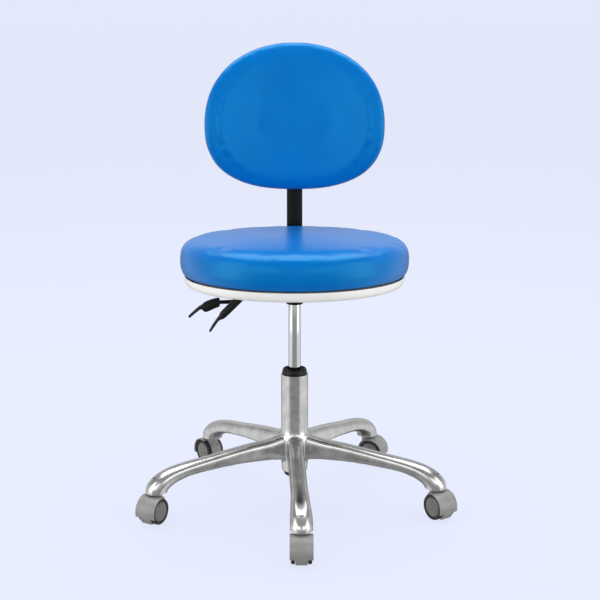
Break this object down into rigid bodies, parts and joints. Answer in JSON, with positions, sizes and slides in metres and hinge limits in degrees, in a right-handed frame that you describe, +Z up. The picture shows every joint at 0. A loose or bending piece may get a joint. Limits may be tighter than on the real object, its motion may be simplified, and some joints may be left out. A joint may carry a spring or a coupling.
{
  "type": "dentist stool",
  "caption": "Rolling stool with a round blue padded seat, an oval backrest on a reclining bar, a gas lift with two levers and a polished star base.",
  "frame": {"origin": "on the floor under the middle of the stool's bounding box, about 15 mm in front of the gas lift's axis", "axes": "+Z up; the sitter faces -Y; +X is on the right of the front view"},
  "size_m": [0.6109, 0.6205, 0.8843],
  "materials": {
    "polished_aluminium": "polished die casting",
    "chrome": "bright chrome plate",
    "steel": "plain zinc-plated steel",
    "black_steel": "gloss black enamel",
    "black_plastic": "moulded black nylon",
    "rubber": "moulded black rubber",
    "blue_vinyl": "smooth blue vinyl-coated upholstery fabric over foam",
    "white_abs": "moulded white ABS",
    "plywood": "raw birch plywood",
    "grey_nylon": "moulded grey nylon"
  },
  "bodies": {
    "root": {"star_base": "polished_aluminium", "gas_tube": "steel", "gas_guide_collar": "black_plastic", "gas_thrust_bearing": "steel", "gas_damper": "rubber", "gas_retaining_clip": "steel"},
    "lift_rod": {"gas_piston_rod": "steel"},
    "seat": {"gas_cylinder": "chrome", "cone_socket": "black_steel", "mechanism_housing": "black_steel", "seat_plate": "black_steel", "recline_pivot_pin": "steel", "recline_spring": "steel", "seat_shell": "white_abs", "seat_board": "plywood", "seat_cushion": "blue_vinyl", "seat_bolt_1": "steel", "seat_bolt_2": "steel", "seat_bolt_3": "steel", "seat_bolt_4": "steel"},
    "release_pin": {"gas_release_pin": "steel"},
    "height_lever": {"height_lever_rod": "black_steel", "height_lever_grip": "black_plastic"},
    "recline_lever": {"recline_lever_rod": "black_steel", "recline_lever_grip": "black_plastic"},
    "back_upright": {"back_bar": "black_steel"},
    "backrest": {"back_cushion": "blue_vinyl", "back_shell": "white_abs", "back_board": "plywood", "back_bracket": "black_plastic", "bracket_screw_1": "steel", "bracket_screw_2": "steel"},
    "knob": {"height_knob": "black_plastic"},
    "caster_front": {"caster_front_stem": "steel", "caster_front_hood": "grey_nylon", "caster_front_axle": "steel"},
    "caster_front_left": {"caster_front_wheel_left": "grey_nylon"},
    "caster_front_right": {"caster_front_wheel_right": "grey_nylon"},
    "caster_right": {"caster_right_stem": "steel", "caster_right_hood": "grey_nylon", "caster_right_axle": "steel"},
    "caster_right_left": {"caster_right_wheel_left": "grey_nylon"},
    "caster_right_right": {"caster_right_wheel_right": "grey_nylon"},
    "caster_rear_right": {"caster_rear_right_stem": "steel", "caster_rear_right_hood": "grey_nylon", "caster_rear_right_axle": "steel"},
    "caster_rear_right_left": {"caster_rear_right_wheel_left": "grey_nylon"},
    "caster_rear_right_right": {"caster_rear_right_wheel_right": "grey_nylon"},
    "caster_rear_left": {"caster_rear_left_stem": "steel", "caster_rear_left_hood": "grey_nylon", "caster_rear_left_axle": "steel"},
    "caster_rear_left_left": {"caster_rear_left_wheel_left": "grey_nylon"},
    "caster_rear_left_right": {"caster_rear_left_wheel_right": "grey_nylon"},
    "caster_left": {"caster_left_stem": "steel", "caster_left_hood": "grey_nylon", "caster_left_axle": "steel"},
    "caster_left_left": {"caster_left_wheel_left": "grey_nylon"},
    "caster_left_right": {"caster_left_wheel_right": "grey_nylon"}
  },
  "joints": [
    {"name": "seat_swivel", "type": "hinge", "parent": "root", "child": "lift_rod", "pos_m": [-0.0048, 0.01, 0.2], "axis": [0, 0, 1], "continuous": true},
    {"name": "seat_height", "type": "slide", "parent": "lift_rod", "child": "seat", "axis": [0, 0, 1], "range_m": [-0.115, 0]},
    {"name": "height_lever_lift", "type": "hinge", "parent": "seat", "child": "height_lever", "pos_m": [-0.0398, 0.00945, 0.43451], "axis": [0, 0.9986, -0.0523], "range_deg": [0, 6], "stiffness_Nm_per_rad": 2, "springref_deg": -5.73},
    {"name": "release_pin_press", "type": "slide", "parent": "seat", "child": "release_pin", "axis": [0, 0, -1], "range_m": [0, 0.004]},
    {"name": "recline_lever_lift", "type": "hinge", "parent": "seat", "child": "recline_lever", "pos_m": [-0.0398, -0.04547, 0.43739], "axis": [0, 0.9986, -0.0523], "range_deg": [0, 6], "stiffness_Nm_per_rad": 2, "springref_deg": -5.73},
    {"name": "back_recline", "type": "hinge", "parent": "seat", "child": "back_upright", "pos_m": [-0.0048, 0.10687, 0.4209], "axis": [-1, 0, 0], "range_deg": [-4, 18]},
    {"name": "back_height", "type": "slide", "parent": "back_upright", "child": "backrest", "axis": [0, 0.1045, 0.9945], "range_m": [-0.035, 0.03]},
    {"name": "knob_turn", "type": "hinge", "parent": "backrest", "child": "knob", "pos_m": [-0.0048, 0.27894, 0.73035], "axis": [0, 0.9945, -0.1045], "range_deg": [0, 540]},
    {"name": "caster_front_swivel", "type": "hinge", "parent": "root", "child": "caster_front", "pos_m": [0.00741, -0.26973, 0.055], "axis": [0, 0, 1], "continuous": true},
    {"name": "caster_front_roll_left", "type": "hinge", "parent": "caster_front", "child": "caster_front_left", "pos_m": [0.00741, -0.28173, 0.025], "axis": [1, 0, 0], "continuous": true},
    {"name": "caster_front_roll_right", "type": "hinge", "parent": "caster_front", "child": "caster_front_right", "pos_m": [0.00741, -0.28173, 0.025], "axis": [1, 0, 0], "continuous": true},
    {"name": "caster_right_swivel", "type": "hinge", "parent": "root", "child": "caster_right", "pos_m": [0.26502, -0.06483, 0.055], "axis": [0, 0, 1], "continuous": true},
    {"name": "caster_right_roll_left", "type": "hinge", "parent": "caster_right", "child": "caster_right_left", "pos_m": [0.2719, -0.07466, 0.025], "axis": [0.8192, 0.5736, 0], "continuous": true},
    {"name": "caster_right_roll_right", "type": "hinge", "parent": "caster_right", "child": "caster_right_right", "pos_m": [0.2719, -0.07466, 0.025], "axis": [0.8192, 0.5736, 0], "continuous": true},
    {"name": "caster_rear_right_swivel", "type": "hinge", "parent": "root", "child": "caster_rear_right", "pos_m": [0.14974, 0.24349, 0.055], "axis": [0, 0, 1], "continuous": true},
    {"name": "caster_rear_right_roll_left", "type": "hinge", "parent": "caster_rear_right", "child": "caster_rear_right_left", "pos_m": [0.1607, 0.23861, 0.025], "axis": [0.4067, 0.9135, 0], "continuous": true},
    {"name": "caster_rear_right_roll_right", "type": "hinge", "parent": "caster_rear_right", "child": "caster_rear_right_right", "pos_m": [0.1607, 0.23861, 0.025], "axis": [0.4067, 0.9135, 0], "continuous": true},
    {"name": "caster_rear_left_swivel", "type": "hinge", "parent": "root", "child": "caster_rear_left", "pos_m": [-0.1791, 0.22913, 0.055], "axis": [0, 0, 1], "continuous": true},
    {"name": "caster_rear_left_roll_left", "type": "hinge", "parent": "caster_rear_left", "child": "caster_rear_left_left", "pos_m": [-0.18633, 0.23871, 0.025], "axis": [-0.7986, -0.6018, 0], "continuous": true},
    {"name": "caster_rear_left_roll_right", "type": "hinge", "parent": "caster_rear_left", "child": "caster_rear_left_right", "pos_m": [-0.18633, 0.23871, 0.025], "axis": [-0.7986, -0.6018, 0], "continuous": true},
    {"name": "caster_left_swivel", "type": "hinge", "parent": "root", "child": "caster_left", "pos_m": [-0.26707, -0.08806, 0.055], "axis": [0, 0, 1], "continuous": true},
    {"name": "caster_left_roll_left", "type": "hinge", "parent": "caster_left", "child": "caster_left_left", "pos_m": [-0.27307, -0.09845, 0.025], "axis": [0.866, -0.5, 0], "continuous": true},
    {"name": "caster_left_roll_right", "type": "hinge", "parent": "caster_left", "child": "caster_left_right", "pos_m": [-0.27307, -0.09845, 0.025], "axis": [0.866, -0.5, 0], "continuous": true}
  ],
  "couplings": [
    {"joint": "release_pin_press", "follows": "height_lever_lift", "m_per_rad": 0.035}
  ]
}
